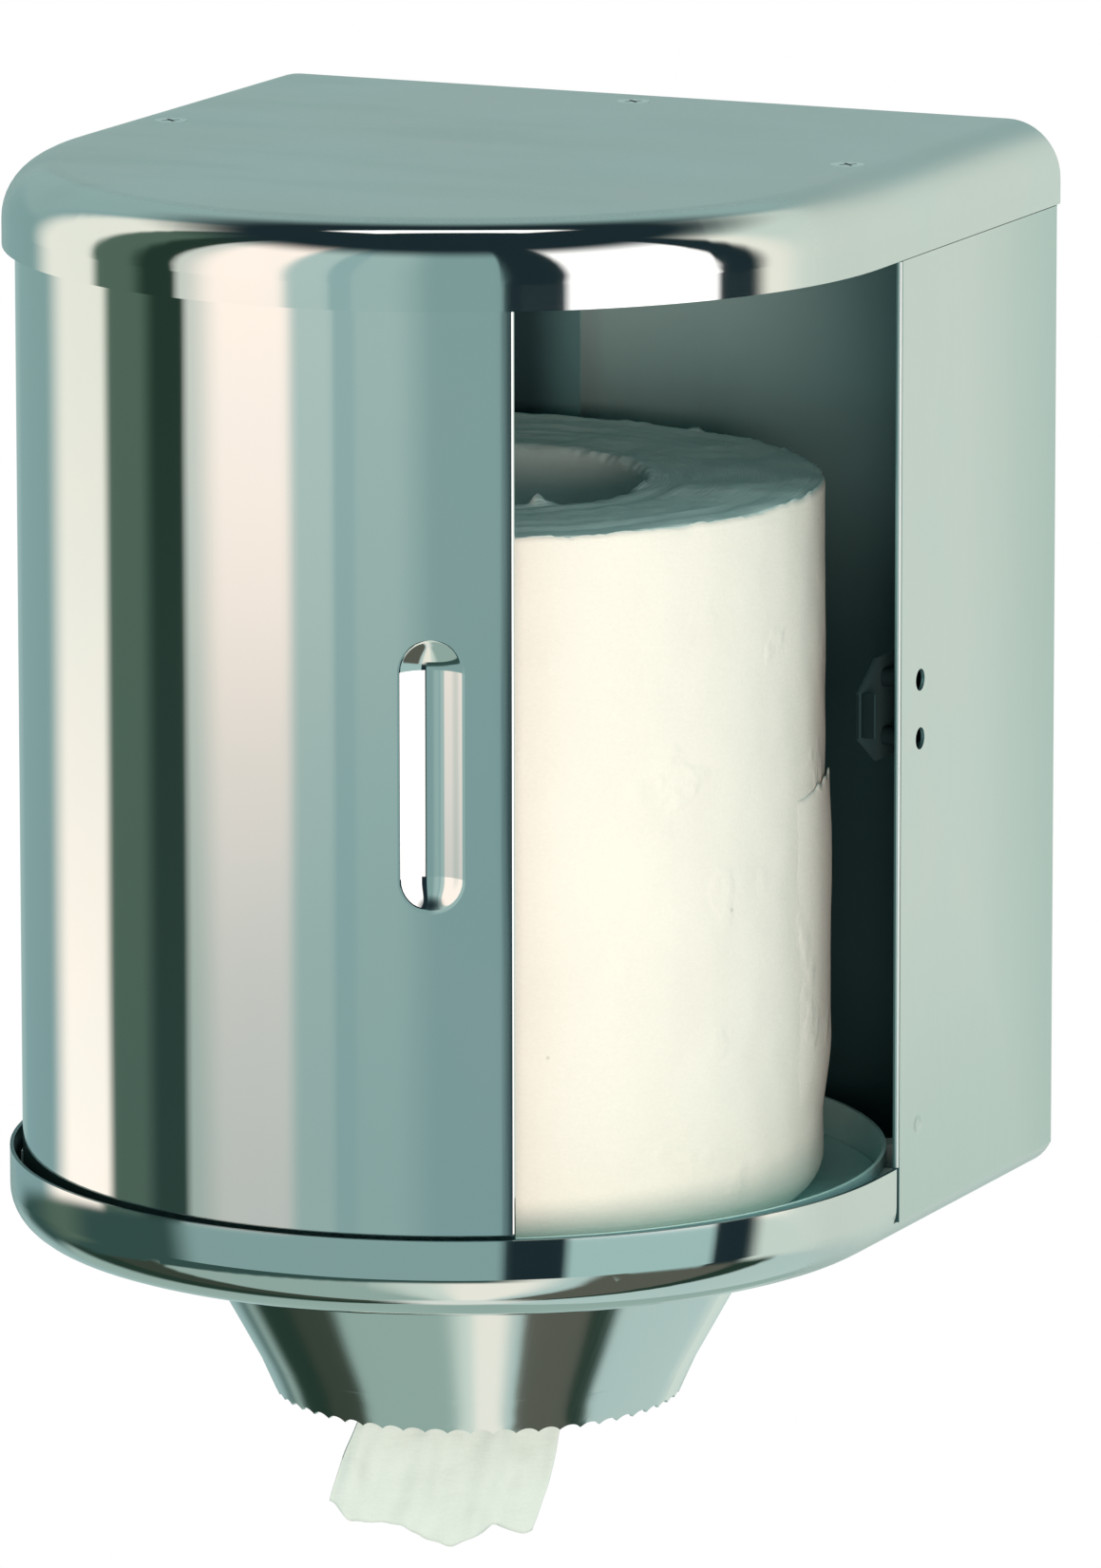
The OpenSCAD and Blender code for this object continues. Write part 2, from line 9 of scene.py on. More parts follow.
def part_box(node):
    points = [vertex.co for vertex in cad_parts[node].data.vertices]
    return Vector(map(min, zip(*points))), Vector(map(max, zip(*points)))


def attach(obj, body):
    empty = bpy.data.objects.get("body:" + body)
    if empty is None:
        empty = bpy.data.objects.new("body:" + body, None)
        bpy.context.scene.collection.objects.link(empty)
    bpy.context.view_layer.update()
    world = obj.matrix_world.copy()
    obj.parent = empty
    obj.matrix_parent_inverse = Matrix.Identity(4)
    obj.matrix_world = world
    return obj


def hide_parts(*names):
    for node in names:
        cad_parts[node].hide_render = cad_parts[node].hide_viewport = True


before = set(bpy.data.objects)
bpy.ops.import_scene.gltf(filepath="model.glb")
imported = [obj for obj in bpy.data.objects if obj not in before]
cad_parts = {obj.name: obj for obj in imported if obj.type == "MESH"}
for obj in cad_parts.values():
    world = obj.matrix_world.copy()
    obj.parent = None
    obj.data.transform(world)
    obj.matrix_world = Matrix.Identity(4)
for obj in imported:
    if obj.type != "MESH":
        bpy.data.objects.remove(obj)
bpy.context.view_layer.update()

# Places of the CAD model that the looks follow. Angles are in degrees from the front towards +X.
AXIS_Y = -0.126
FUNNEL_Y = -0.115
CASE_R = 0.1225
ROLL_R = 0.099
HOLE_R = 0.050
ROLL_EDGE = 0.009
ROLL_LOW, ROLL_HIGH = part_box("paper_roll")[0].z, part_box("paper_roll")[1].z
NECK_Z = -0.139
RIM_Z = -0.1212
WAIST_Z = -0.1846
DOOR_TAIL = -171.6
RECESS_ANGLE, RECESS_HALF = 21.2, 4.6
MIDDLE = Vector((0.0, AXIS_Y, 0.0))


# Camera

CAMERA_AT = Vector((1.4534, -3.2611, 0.6592))
CAMERA_AIM = Vector((0.0268, -0.1260, -0.0230))
CAMERA_LENS = 299.2
CAMERA_ROLL = math.radians(-0.06)


def make_camera():
    data = bpy.data.cameras.new("camera")
    data.lens = CAMERA_LENS
    camera = bpy.data.objects.new("camera", data)
    bpy.context.scene.collection.objects.link(camera)
    facing = (CAMERA_AIM - CAMERA_AT).to_track_quat("-Z", "Y").to_matrix()
    turn = Matrix.Rotation(CAMERA_ROLL, 3, "Z")
    camera.matrix_world = Matrix.Translation(CAMERA_AT) @ (facing @ turn).to_4x4()
    bpy.context.scene.camera = camera


# Node trees


class Graph:
    """Short calls on a node tree. Inputs are numbers, tuples or sockets, by name or place."""

    def __init__(self, tree):
        self.tree = tree

    def add(self, kind, inputs=None, **settings):
        made = self.tree.nodes.new(kind)
        for name, value in settings.items():
            setattr(made, name, value)
        for key, value in (inputs or {}).items():
            if isinstance(value, bpy.types.NodeSocket):
                self.tree.links.new(value, made.inputs[key])
            else:
                made.inputs[key].default_value = value
        return made

    def calc(self, operation, *values):
        made = self.add("ShaderNodeMath", dict(enumerate(values)), operation=operation)
        return made.outputs[0]

    def plus(self, a, b):
        return self.calc("ADD", a, b)

    def minus(self, a, b):
        return self.calc("SUBTRACT", a, b)

    def times(self, a, b):
        return self.calc("MULTIPLY", a, b)

    def vector(self, operation, *values):
        made = self.add("ShaderNodeVectorMath", dict(enumerate(values)), operation=operation)
        return made.outputs["Value" if operation in ("DOT_PRODUCT", "LENGTH") else "Vector"]

    def step(self, value, low, high):
        """0 below low, 1 above high, smooth between; low may be the larger."""
        inputs = {"Value": value, "From Min": low, "From Max": high}
        return self.add("ShaderNodeMapRange", inputs, interpolation_type="SMOOTHSTEP").outputs[0]

    def within(self, value, low, high, soft):
        """1 between low and high, fading to 0 outside."""
        return self.times(self.step(value, low - soft, low), self.step(value, high + soft, high))

    def span(self, value, low, high, to_low, to_high):
        inputs = {"Value": value, "From Min": low, "From Max": high, "To Min": to_low, "To Max": to_high}
        return self.add("ShaderNodeMapRange", inputs).outputs[0]

    def mix(self, share, a, b):
        """A mix of two colours, each a socket or a tuple without alpha."""
        a, b = ((*colour, 1.0) if isinstance(colour, tuple) else colour for colour in (a, b))
        return self.add("ShaderNodeMix", {0: share, 6: a, 7: b}, data_type="RGBA").outputs[2]

    def mix_vectors(self, share, a, b):
        return self.add("ShaderNodeMix", {0: share, 4: a, 5: b}, data_type="VECTOR").outputs[1]

    def blend(self, share, a, b):
        return self.add("ShaderNodeMix", {0: share, 2: a, 3: b}).outputs[0]

    def split(self, vector):
        return self.add("ShaderNodeSeparateXYZ", {0: vector}).outputs

    def join(self, x, y, z):
        return self.add("ShaderNodeCombineXYZ", {0: x, 1: y, 2: z}).outputs[0]

    def noise(self, vector, scale, detail=2.0, roughness=0.5):
        inputs = {"Vector": vector, "Scale": scale, "Detail": detail, "Roughness": roughness}
        return self.add("ShaderNodeTexNoise", inputs).outputs["Fac"]

    def bump(self, height, distance, normal=None):
        inputs = {"Height": height, "Distance": distance, "Strength": 1.0}
        if normal is not None:
            inputs["Normal"] = normal
        return self.add("ShaderNodeBump", inputs).outputs[0]

    def ramp(self, value, stops):
        """Colours at places from 0 to 1, eased between."""
        made = self.add("ShaderNodeValToRGB", {0: value})
        made.color_ramp.interpolation = "EASE"
        elements = made.color_ramp.elements
        while len(elements) < len(stops):
            elements.new(0.5)
        for element, (where, colour) in zip(elements, stops):
            element.position = where
            element.color = (*colour, 1.0)
        return made.outputs[0]


def new_material(name):
    """(material, its graph, its Principled node) with nothing linked but the surface."""
    material = bpy.data.materials.new(name)
    material.use_nodes = True
    material.node_tree.nodes.clear()
    graph = Graph(material.node_tree)
    shader = graph.add("ShaderNodeBsdfPrincipled")
    graph.add("ShaderNodeOutputMaterial", {"Surface": shader.outputs[0]})
    return material, graph, shader


def place(graph):
    return graph.add("ShaderNodeTexCoord").outputs["Object"]


def own_normal(graph):
    """The surface's normal on the piece's own axes."""
    return graph.add("ShaderNodeTexCoord").outputs["Normal"]


def round_place(graph, position):
    """(angle from the front in degrees, radius, height) round the case's upright axis."""
    x, y, z = graph.split(position)
    ahead = graph.minus(AXIS_Y, y)
    angle = graph.calc("DEGREES", graph.calc("ARCTAN2", x, ahead))
    radius = graph.calc("SQRT", graph.plus(graph.times(x, x), graph.times(ahead, ahead)))
    return angle, radius, z


def link(graph, socket, shader, name):
    graph.tree.links.new(socket, shader.inputs[name])


# Steel

# Outside: as new, in its warmer clouds, and darkened: painted shade towards the wall and foot of the
# panels, faint streaks on the top
STEEL = (0.735, 0.775, 0.755)
STEEL_WARM = (0.760, 0.775, 0.745)
STEEL_DARKENED = (0.555, 0.650, 0.620)
# Inside, painted light and shade: palest high at the back, painted shade high on the right and darker
# painted shade deep down
STEEL_INSIDE_PAINTED_LIGHT = (0.72, 1.00, 1.00)
STEEL_SIDE_PAINTED_SHADE = (0.22, 0.40, 0.41)
STEEL_DEEP_PAINTED_SHADE = (0.06, 0.14, 0.15)
SIDE_SHADE_FADE, DEEP_SHADE_FADE = (-0.03, 0.09), (-0.02, 0.09)
# Painted shade on the door's inside, paler at the end of it that stands deepest in the case
DOOR_INSIDE_PAINTED_SHADE = (0.07, 0.13, 0.145)
DOOR_END_PAINTED_SHADE = (0.27, 0.50, 0.52)
DOOR_END_ARC = 7.5

POLISHED, SATIN = 0.045, 0.36
INSIDE_ROUGH, INSIDE_METAL = (0.30, 0.42), 0.6
# The middle of a noise's range, where most of its values lie
MOST = (0.3, 0.7)
CLOUD_SCALE, WAVE_SCALE = 14.0, 9.0
STREAK_TURN, STREAK_RISE, STREAK_SCALE = 0.9, 5.0, 1.6
GRAIN = (900.0, 900.0, 40.0)
GRAIN_DEPTH = 0.000004


def facing_in(graph, position):
    """1 on faces that look towards the middle of the case."""
    normal = graph.add("ShaderNodeNewGeometry").outputs["Normal"]
    along = graph.vector("DOT_PRODUCT", normal, graph.vector("SUBTRACT", position, MIDDLE))
    return graph.step(along, 0.002, -0.002)


def case_painted_shade(graph, position):
    """Painted light and shade on the inside of the case: palest high up, darker painted shade on the right
    and darkest deep down.
    """
    x, y, z = graph.split(position)
    high = graph.mix(graph.step(x, *SIDE_SHADE_FADE), STEEL_INSIDE_PAINTED_LIGHT, STEEL_SIDE_PAINTED_SHADE)
    return graph.mix(graph.step(z, *DEEP_SHADE_FADE), STEEL_DEEP_PAINTED_SHADE, high)


def door_painted_shade(graph, position):
    """Painted shade on the door's inside, palest at the edge that stands deepest in the case."""
    angle = round_place(graph, position)[0]
    return graph.mix(graph.step(angle, DOOR_TAIL + DOOR_END_ARC, DOOR_TAIL), DOOR_INSIDE_PAINTED_SHADE, DOOR_END_PAINTED_SHADE)


def steel(name, mask=None, gloss=POLISHED, wave=0.00010, painted_inside=case_painted_shade,
          marks=None, darkened=None, turned=None):
    """Stainless sheet, duller inside the case and painted darker there as shade. gloss is its roughness
    where it is polished.

    Each of the others is called with the graph and the position, if it is given:
    mask gives 1 where it is polished and 0 where it is satin,
    painted_inside the painted light and shade of its inside,
    marks the height of its dents and swellings in metres,
    darkened 1 where it takes the darker colour,
    and turned its normals.
    """
    material, graph, shader = new_material(name)
    position = place(graph)
    angle, radius, z = round_place(graph, position)
    inside = facing_in(graph, position)
    cloud = graph.noise(position, CLOUD_SCALE, 3.0)
    drawn = graph.join(graph.times(angle, STREAK_TURN), radius, graph.times(z, STREAK_RISE))
    streak = graph.noise(drawn, STREAK_SCALE, 4.0, 0.6)
    grain = graph.noise(graph.vector("MULTIPLY", position, GRAIN), 1.0)
    polish = mask(graph, position) if mask else 1.0
    fine = graph.span(streak, *MOST, gloss * 0.9, gloss * 1.15)
    mottle = graph.plus(graph.times(grain, 0.5), graph.times(cloud, 0.5))
    outer = graph.blend(polish, graph.span(mottle, *MOST, SATIN * 0.85, SATIN * 1.12), fine)
    link(graph, graph.blend(inside, outer, graph.span(streak, *MOST, *INSIDE_ROUGH)), shader, "Roughness")
    tint = graph.mix(graph.step(cloud, 0.35, 0.7), STEEL, STEEL_WARM)
    # Darkened where asked: painted shade on the panels, faint streaks on the top
    if darkened:
        tint = graph.mix(darkened(graph, position), tint, STEEL_DARKENED)
    # Faces that look into the case take their painted light and shade
    link(graph, graph.mix(inside, tint, painted_inside(graph, position)), shader, "Base Color")
    tilt = turned(graph, position) if turned else None
    tilt = graph.bump(graph.noise(position, WAVE_SCALE, 1.0), wave, tilt)
    tilt = graph.bump(graph.times(grain, graph.minus(1.25, polish)), GRAIN_DEPTH, tilt)
    if marks:
        tilt = graph.bump(marks(graph, position), 1.0, tilt)
    link(graph, tilt, shader, "Normal")
    link(graph, graph.blend(inside, 1.0, INSIDE_METAL), shader, "Metallic")
    return material


# How far round the front, in degrees, and how far from its edge a pressing is polished
POLISH_LEFT, POLISH_RIGHT = (-66.0, -44.0), (80.0, 66.0)
POLISH_IN = (0.0135, 0.0085)


def pressed_polish(graph, position):
    """Where a pressing is polished: its rounding and skirt, round the front."""
    angle, radius, z = round_place(graph, position)
    front = graph.times(graph.step(angle, *POLISH_LEFT), graph.step(angle, *POLISH_RIGHT))
    return graph.times(front, graph.step(radius, *(CASE_R - depth for depth in POLISH_IN)))


def all_satin(graph, position):
    return 0.0


WELD_Y, WELD_Z = -0.0975, -0.114
WELD_R, WELD_DEPTH = 0.0030, 0.0006


def weld_dents(graph, position):
    """The spot weld low on each panel, near its front edge."""
    x, y, z = graph.split(position)
    far = graph.vector("LENGTH", graph.join(0.0, graph.minus(y, WELD_Y), graph.minus(z, WELD_Z)))
    return graph.times(graph.step(far, 0.3 * WELD_R, WELD_R), WELD_DEPTH)


# Painted shade on the panels, fading in towards the wall and towards the foot
WALL_SHADE_FADE, FOOT_SHADE_FADE, FOOT_SHADE_SHARE = (-0.075, 0.015), (-0.04, -0.15), 0.6


def shell_painted_shade(graph, position):
    """Painted shade: the panels are darker towards the wall and a little towards the foot."""
    x, y, z = graph.split(position)
    foot = graph.times(graph.step(z, *FOOT_SHADE_FADE), FOOT_SHADE_SHARE)
    return graph.calc("MAXIMUM", graph.step(y, *WALL_SHADE_FADE), foot)


CAP_STREAK_STRETCH = (5.0, 16.0, 5.0)


def cap_dark_streaks(graph, position):
    """Faint darker cloudy streaks across the top, fewer on the right."""
    cloud = graph.noise(graph.vector("MULTIPLY", position, CAP_STREAK_STRETCH), 1.6, 4.0, 0.6)
    share = graph.span(graph.split(position)[0], -0.02, 0.10, 0.35, 0.05)
    return graph.times(graph.step(cloud, 0.40, 0.66), share)


def below(graph, position, level):
    """How far a point lies below a level, as a negative height; 0 above it."""
    return graph.calc("MINIMUM", graph.minus(graph.split(position)[2], level), 0.0)


RIM_SWELL_R = 0.140


def rim_swell(graph, position):
    """The pan's rim is a little barrel shaped: it falls away towards its foot."""
    down = below(graph, position, RIM_Z)
    return graph.times(graph.times(down, down), -0.5 / RIM_SWELL_R)


WAIST_TILT = 0.0863


def funnel_waist(graph, position):
    """Below its waist the funnel goes on mirroring as one cone with the wall above."""
    return graph.times(below(graph, position, WAIST_Z), WAIST_TILT)


# How level a wall of the recess is with the door: where its softening and its soft rim begin and end
RECESS_WALL, RECESS_RIM = (0.97, 0.40), (0.68, 0.42)
# How far the walls turn to the door's own curve: 3 degrees left, 3 degrees right and at the rim
SOFT_LEFT, SOFT_RIGHT, SOFT_RIM = 0.40, 0.57, 0.83


def soft_recess(graph, position):
    """The door's normals, with the finger recess drawn softer than its solid, most on the right."""
    x, y, z = graph.split(position)
    out = graph.vector("NORMALIZE", graph.join(x, graph.minus(y, AXIS_Y), 0.0))
    normal = own_normal(graph)
    level = graph.vector("DOT_PRODUCT", normal, out)
    side = graph.minus(round_place(graph, position)[0], RECESS_ANGLE)
    share = graph.times(graph.step(level, *RECESS_WALL), graph.span(side, -3.0, 3.0, SOFT_LEFT, SOFT_RIGHT))
    share = graph.calc("MAXIMUM", share, graph.times(graph.step(level, *RECESS_RIM), SOFT_RIM))
    share = graph.times(share, graph.within(side, -RECESS_HALF, RECESS_HALF, 0.1))
    share = graph.times(share, graph.step(level, 0.0, 0.2))
    soft = graph.vector("NORMALIZE", graph.mix_vectors(share, normal, out))
    return graph.add("ShaderNodeVectorTransform", {0: soft}, vector_type="NORMAL", convert_from="OBJECT",
                     convert_to="WORLD").outputs[0]


PLAIN_CLOUD, PLAIN_GRAIN, PLAIN_DEPTH = 160.0, 1920.0, 0.00001


def plain(name, colour, roughness, metallic, spread=0.06, sheen=0.5, front=None):
    """A simple surface with cloudy colour, uneven gloss and a fine grain.

    front is the colour of the faces that look to the front, where that is another one.
    """
    material, graph, shader = new_material(name)
    position = place(graph)
    cloud = graph.noise(position, PLAIN_CLOUD, 4.0, 0.6)
    dark = tuple(c * (1.0 - spread) for c in colour)
    pale = tuple(min(1.0, c * (1.0 + spread)) for c in colour)
    tint = graph.mix(cloud, dark, pale)
    if front:
        tint = graph.mix(graph.step(graph.split(own_normal(graph))[1], -0.3, -0.8), tint, front)
    link(graph, tint, shader, "Base Color")
    link(graph, graph.span(cloud, 0.2, 0.8, roughness * 0.8, roughness * 1.2), shader, "Roughness")
    link(graph, graph.bump(graph.noise(position, PLAIN_GRAIN), PLAIN_DEPTH), shader, "Normal")
    shader.inputs["Metallic"].default_value = metallic
    shader.inputs["Specular IOR Level"].default_value = sheen
    return material


# Paper

PAPER = (0.86, 0.81, 0.74)
# The tail's paper: the same towel as the roll, painted darker and tealer as shade
PAPER_LOOSE_SHADED = (0.665, 0.735, 0.69)
# The cooler tint of the roll's ends and hole: partly the cut edges' own colour, partly painted teal shade
PAPER_END_SHADE_TINT = (0.80, 0.90, 0.87)
SPECK = (0.62, 0.60, 0.54)
FIBRE_SCALE, FIBRE_DEPTH = 900.0, 0.00009
CREPE_SCALE, CREPE_DEPTH, CREPE_RISE = 160.0, 0.00016, (1.0, 1.0, 5.0)
DENT_PLACES, DENT_SCALE, DENT_DEPTH = 48.0, 210.0, 0.00045
SPECK_SCALE, SPECK_SIZE, SPECK_SHARE = 45.0, (0.035, 0.015), 0.8
PLY_SCALE, PLY_DRIFT, PLY_DEPTH = 2600.0, 0.05, 0.00030


def paper(name, pale, wound):
    """Soft tissue: fibres, dents, a few specks and, on the wound roll, the plies on its ends. The roll's
    ends and hole take a cooler tint, partly the cut edges' own colour and partly painted teal shade.
    """
    material, graph, shader = new_material(name)
    position = place(graph)
    angle, radius, z = round_place(graph, position)
    fibre = graph.noise(position, FIBRE_SCALE, 5.0, 0.65)
    cloud = graph.noise(position, 22.0, 4.0, 0.55)
    tone = graph.plus(graph.times(cloud, 0.6), graph.times(fibre, 0.4))
    colour = graph.mix(graph.step(tone, 0.2, 0.75), tuple(0.92 * c for c in pale), pale)
    cells = graph.add("ShaderNodeTexVoronoi", {"Vector": position, "Scale": SPECK_SCALE}).outputs[0]
    colour = graph.mix(graph.times(graph.step(cells, *SPECK_SIZE), SPECK_SHARE), colour, SPECK)
    crepe = graph.noise(graph.vector("MULTIPLY", position, CREPE_RISE), CREPE_SCALE, 3.0, 0.6)
    skin = graph.bump(crepe, CREPE_DEPTH)
    skin = graph.bump(fibre, FIBRE_DEPTH, skin)
    dents = graph.step(graph.noise(position, DENT_PLACES), 0.60, 0.72)
    skin = graph.bump(graph.times(dents, graph.noise(position, DENT_SCALE)), DENT_DEPTH, skin)
    if wound:
        turns = graph.join(graph.times(radius, PLY_SCALE), graph.times(angle, PLY_DRIFT), 0.0)
        up = graph.split(graph.add("ShaderNodeNewGeometry").outputs["Normal"])[2]
        ends = graph.step(graph.calc("ABSOLUTE", up), 0.6, 0.9)
        skin = graph.bump(graph.times(graph.noise(turns, 1.0), ends), PLY_DEPTH, skin)
        # The ends and the hole wall take the painted teal shade tint
        shade_tint = graph.calc("MAXIMUM", ends, graph.step(radius, HOLE_R + 0.002, HOLE_R + 0.0005))
        colour = graph.mix(shade_tint, colour, PAPER_END_SHADE_TINT)
    link(graph, colour, shader, "Base Color")
    link(graph, skin, shader, "Normal")
    shader.inputs["Roughness"].default_value = 0.9
    shader.inputs["Specular IOR Level"].default_value = 0.2
    return material


# Shapes in code


def mesh_piece(name, points, faces, material):
    mesh = bpy.data.meshes.new(name)
    mesh.from_pydata([tuple(p) for p in points], [], faces)
    mesh.validate()
    mesh.update()
    for polygon in mesh.polygons:
        polygon.use_smooth = True
    mesh.materials.append(material)
    piece = bpy.data.objects.new(name, mesh)
    bpy.context.scene.collection.objects.link(piece)
    return piece


def rough(x, y, z, scale, seed=0.0):
    """Smooth noise from about -1 to 1."""
    return noise.noise(Vector((x * scale + seed, y * scale - seed, z * scale + 2.0 * seed)))


def waves(kinds, x, y, z):
    """Smooth noises added up, each kind with its height, scale and seed."""
    return sum(height * rough(x, y, z, scale, seed) for height, scale, seed in kinds)


def at_round(angle, radius, z):
    """Point at an angle from the front, in degrees towards +X, round the case's axis."""
    a = math.radians(angle)
    return Vector((radius * math.sin(a), AXIS_Y - radius * math.cos(a), z))


def smooth(t):
    t = max(0.0, min(1.0, t))
    return t * t * (3.0 - 2.0 * t)


def hump(x):
    return math.exp(-x * x)


def grid_faces(columns, rows, start=0, closed=False):
    """Quads over rows of points; closed joins the last column to the first."""
    wrap = columns if closed else columns - 1
    return [(start + r * columns + c, start + r * columns + (c + 1) % columns,
             start + (r + 1) * columns + (c + 1) % columns, start + (r + 1) * columns + c)
            for r in range(rows - 1) for c in range(wrap)]


# The roll

ROLL_COLUMNS = 360
HOLE_ROWS, TOP_ROWS, WALL_ROWS, EDGE_ROWS = 24, 25, 60, 9
ROLL_LIP, LIP_TURNS = 0.003, (0.4, 0.8, 1.2)
TOP_INSET, TOP_BREAK, TOP_EDGE = 0.0012, 0.0003, 0.0016
TOP_RAGGED = 0.25
# Drawn in by this much, so that its swellings stay in the solid
SINK_R, SINK_Z = 0.0004, 0.0005
SWELLS = ((0.0004, 28.0, 3.1), (0.0002, 90.0, 8.4))
TEETH = ((0.0009, 170.0, 7.7), (0.0008, 420.0, 1.3))
TOP_WAVES = ((0.0009, 45.0, 5.0),)
PLIES, PLY_TURN = ((0.0005, 260.0, 6.6),), 0.00004
# A raised place on the outer edge and two torn scraps at the hole
LIFT_ANGLE, LIFT_ARC, LIFT = 97.0, 7.0, 0.0012
SCRAP_ANGLE, SCRAP_ARC = 48.0, 6.0
SCRAP_NEXT, SCRAP_NEXT_ARC, SCRAP_NEXT_SHARE = 17.0, 4.0, 0.7
SCRAP_HEIGHT, SCRAP_EDGE = 0.0035, ((0.0025, 260.0, 2.2),)
# The loose outer end
FLAP_COLUMNS, FLAP_ROWS = 31, 60
FLAP_FROM, FLAP_TO = 82.0, 112.0
FLAP_TOP, FLAP_SLOPE = -0.020, 0.004
FLAP_T = 0.0005
FLAP_LIFT, FLAP_LOOSE, FLAP_START = 0.0014, 0.035, 0.65
FLAP_TORN = ((0.0012, 40.0, 6.1),)
FLAP_WAVES = ((0.7, 45.0, 9.3),)
FLAP_EDGE = ((0.9, 110.0, 3.6),)


def roll_profile():
    """(radius, height, share of raggedness) from the hole's foot over the top and back below."""
    wall = ROLL_HIGH - ROLL_LOW
    rows = [(HOLE_R, ROLL_LOW + (wall - ROLL_LIP) * k / HOLE_ROWS, 0.0) for k in range(HOLE_ROWS + 1)]
    for a in LIP_TURNS:
        rows.append((HOLE_R + ROLL_LIP * (1 - math.cos(a)), ROLL_HIGH - ROLL_LIP * (1 - math.sin(a)), 1.0))
    inner, outer = HOLE_R + ROLL_LIP, ROLL_R - TOP_INSET
    rows += [(inner + (outer - inner) * k / TOP_ROWS, ROLL_HIGH, TOP_RAGGED) for k in range(TOP_ROWS + 1)]
    rows.append((ROLL_R - TOP_BREAK, ROLL_HIGH - TOP_BREAK, 1.0))
    drop = wall - ROLL_EDGE - TOP_EDGE
    rows += [(ROLL_R, ROLL_HIGH - TOP_EDGE - drop * k / WALL_ROWS, 0.0) for k in range(WALL_ROWS + 1)]
    for k in range(1, EDGE_ROWS + 1):
        a = math.radians(90.0 * k / EDGE_ROWS)
        rows.append((ROLL_R - ROLL_EDGE * (1 - math.cos(a)), ROLL_LOW + ROLL_EDGE * (1 - math.sin(a)), 0.0))
    rows.append((HOLE_R, ROLL_LOW, 0.0))
    return rows


def roll_point(angle, r, z, ragged):
    """A point of the roll with its soft swellings, dents and torn edges."""
    p = at_round(angle, r, z)
    outside = smooth((r - HOLE_R) / 0.02)
    tooth = waves(TEETH, p.x, p.y, 0.0) + LIFT * hump((angle - LIFT_ANGLE) / LIFT_ARC)
    top = smooth((z - ROLL_HIGH + 0.004) / 0.002)
    ripple = waves(TOP_WAVES, p.x, p.y, 0.0) + waves(PLIES, r, angle * PLY_TURN, 0.0)
    rise = ragged * tooth + top * ripple
    if ragged > 0.5 and r < HOLE_R + 0.001:
        torn = hump((angle - SCRAP_ANGLE) / SCRAP_ARC)
        torn += SCRAP_NEXT_SHARE * hump((angle - SCRAP_ANGLE + SCRAP_NEXT) / SCRAP_NEXT_ARC)
        rise += torn * (SCRAP_HEIGHT + waves(SCRAP_EDGE, p.x, p.y, 0.0))
    return at_round(angle, r - SINK_R + outside * waves(SWELLS, p.x, p.y, p.z), z - SINK_Z + rise)


def flap_points():
    """The loose outer end: its outside and its inside, each in rows from the top down."""
    low = ROLL_LOW + ROLL_EDGE
    for depth in (0.0, FLAP_T):
        for k in range(FLAP_ROWS):
            for c in range(FLAP_COLUMNS):
                t = c / (FLAP_COLUMNS - 1)
                angle = FLAP_FROM + (FLAP_TO - FLAP_FROM) * t
                top = FLAP_TOP + waves(FLAP_TORN, angle * 0.01, 0.3, 0.0) - FLAP_SLOPE * (1.0 - t)
                z = top + (low - top) * k / (FLAP_ROWS - 1)
                loose = smooth((z - low) / FLAP_LOOSE)
                lift = FLAP_LIFT * t * t * loose * (1.0 + waves(FLAP_WAVES, 0.0, z, 0.2))
                lift -= FLAP_LIFT * max(smooth(1.0 - t / FLAP_START), 1.0 - loose)
                edge = t * waves(FLAP_EDGE, 0.1, z, 0.4)
                yield at_round(angle + edge, ROLL_R + lift - depth, z)


def flap_faces(start):
    columns, rows = FLAP_COLUMNS, FLAP_ROWS
    size = columns * rows
    faces = grid_faces(columns, rows, start)
    faces += [tuple(reversed(face)) for face in grid_faces(columns, rows, start + size)]
    border = list(range(columns)) + [columns * k + columns - 1 for k in range(1, rows)]
    border += list(range(size - 2, size - columns - 1, -1)) + [columns * k for k in range(rows - 2, 0, -1)]
    for a, b in zip(border, border[1:] + border[:1]):
        faces.append((start + b, start + a, start + size + a, start + size + b))
    return faces


def make_roll(material):
    rows = roll_profile()
    points = [roll_point(360.0 * c / ROLL_COLUMNS, *row) for row in rows for c in range(ROLL_COLUMNS)]
    faces = grid_faces(ROLL_COLUMNS, len(rows), 0, True)
    faces += flap_faces(len(points))
    points += list(flap_points())
    return mesh_piece("towel_roll", points, faces, material)


# The tail

TAIL_COLUMNS = 220
TAIL_ROWS = 120
TAIL_TURN = math.radians(25.0)
TAIL_NECK = 0.42
TAIL_T = 0.00025
# Where it leaves the roll's inner wall
WALL_ANGLE, WALL_ARC, WALL_GAP = 30.6, 4.0, 0.0016
WALL_LOW, WALL_SPAN = ROLL_LOW + 0.03, ROLL_HIGH - ROLL_LOW - 0.034
OPEN_DROP = 0.078
LEAN_Z, LEAN = -0.186, 0.29
# Where the towel turns back on itself, across and in depth: in the pan's hole and at its foot
NECK_TURNS = [(-0.017, -0.009), (0.017, -0.004), (-0.015, 0.000), (0.015, 0.004), (-0.014, 0.008)]
FOOT_TURNS = [(-0.029, -0.009), (0.029, -0.004), (-0.012, 0.001), (0.024, 0.005), (-0.016, 0.009)]
# Its torn edge: humps as height, place across and width, then the rise of each layer behind
FOOT_Z = -0.2320
FOOT_HUMPS = ((0.0068, -0.030, 0.006), (-0.0072, 0.0065, 0.0108), (0.0010, 0.0175, 0.0014),
              (-0.0046, 0.027, 0.0065))
LAYER_RISE = 0.0016
FOOT_TORN = ((0.0007, 260.0, 5.5),)
